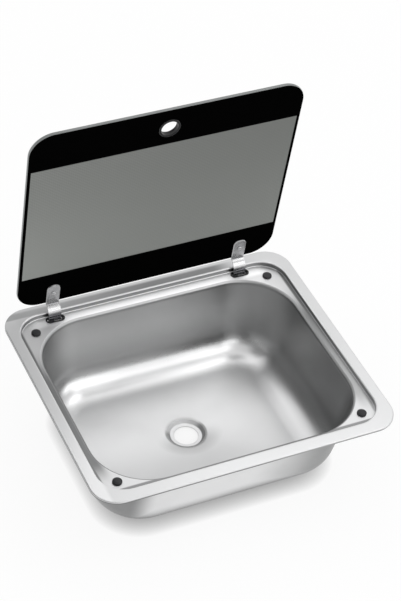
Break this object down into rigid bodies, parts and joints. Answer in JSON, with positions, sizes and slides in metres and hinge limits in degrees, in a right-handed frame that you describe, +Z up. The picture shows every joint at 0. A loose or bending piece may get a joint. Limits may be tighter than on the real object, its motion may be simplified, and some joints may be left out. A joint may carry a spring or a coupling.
{
  "type": "drop-in sink with hinged glass lid",
  "caption": "Drop-in pressed steel sink with a rounded rectangular bowl, a round drain recess and a dark printed glass lid on spring hinges that folds down into the stepped rim.",
  "frame": {"origin": "middle of the part's plan box, level with the underside of the drain recess", "axes": "+X to the right, +Y back towards the hinges, +Z up"},
  "size_m": [0.42, 0.37, 0.4716],
  "materials": {
    "satin_steel": "satin pressed stainless steel",
    "bright_steel": "bright rolled stainless steel",
    "zinc_steel": "dull zinc-plated steel",
    "spring_steel": "bright drawn spring wire",
    "seal_rubber": "matt closed-cell rubber",
    "bumper_rubber": "smooth satin rubber",
    "black_plastic": "satin moulded plastic",
    "printed_glass": "polished toughened glass with a black border and a grey lined panel printed on its inner face"
  },
  "bodies": {
    "basin": {"basin": "satin_steel", "rim_seal": "seal_rubber", "bumper_back_left": "bumper_rubber", "bumper_back_right": "bumper_rubber", "bumper_front_left": "bumper_rubber", "bumper_front_right": "bumper_rubber", "slot_grommet_left": "black_plastic", "hinge_bracket_left": "zinc_steel", "pivot_pin_left": "bright_steel", "pin_clip_left": "zinc_steel", "spring_rod_left": "zinc_steel", "hinge_spring_left": "spring_steel", "slot_grommet_right": "black_plastic", "hinge_bracket_right": "zinc_steel", "pivot_pin_right": "bright_steel", "pin_clip_right": "zinc_steel", "spring_rod_right": "zinc_steel", "hinge_spring_right": "spring_steel"},
    "lid": {"lid_glass": "printed_glass", "finger_ring": "black_plastic", "hinge_arm_left": "bright_steel", "hinge_pad_left": "seal_rubber", "lid_screw_left": "bright_steel", "lid_bush_left": "black_plastic", "lid_cap_left": "bright_steel", "hinge_arm_right": "bright_steel", "hinge_pad_right": "seal_rubber", "lid_screw_right": "bright_steel", "lid_bush_right": "black_plastic", "lid_cap_right": "bright_steel"}
  },
  "joints": [
    {"name": "lid_hinge", "type": "hinge", "parent": "basin", "child": "lid", "pos_m": [0, 0.175, 0.1368], "axis": [1, 0, 0], "range_deg": [0, 81.8]}
  ]
}
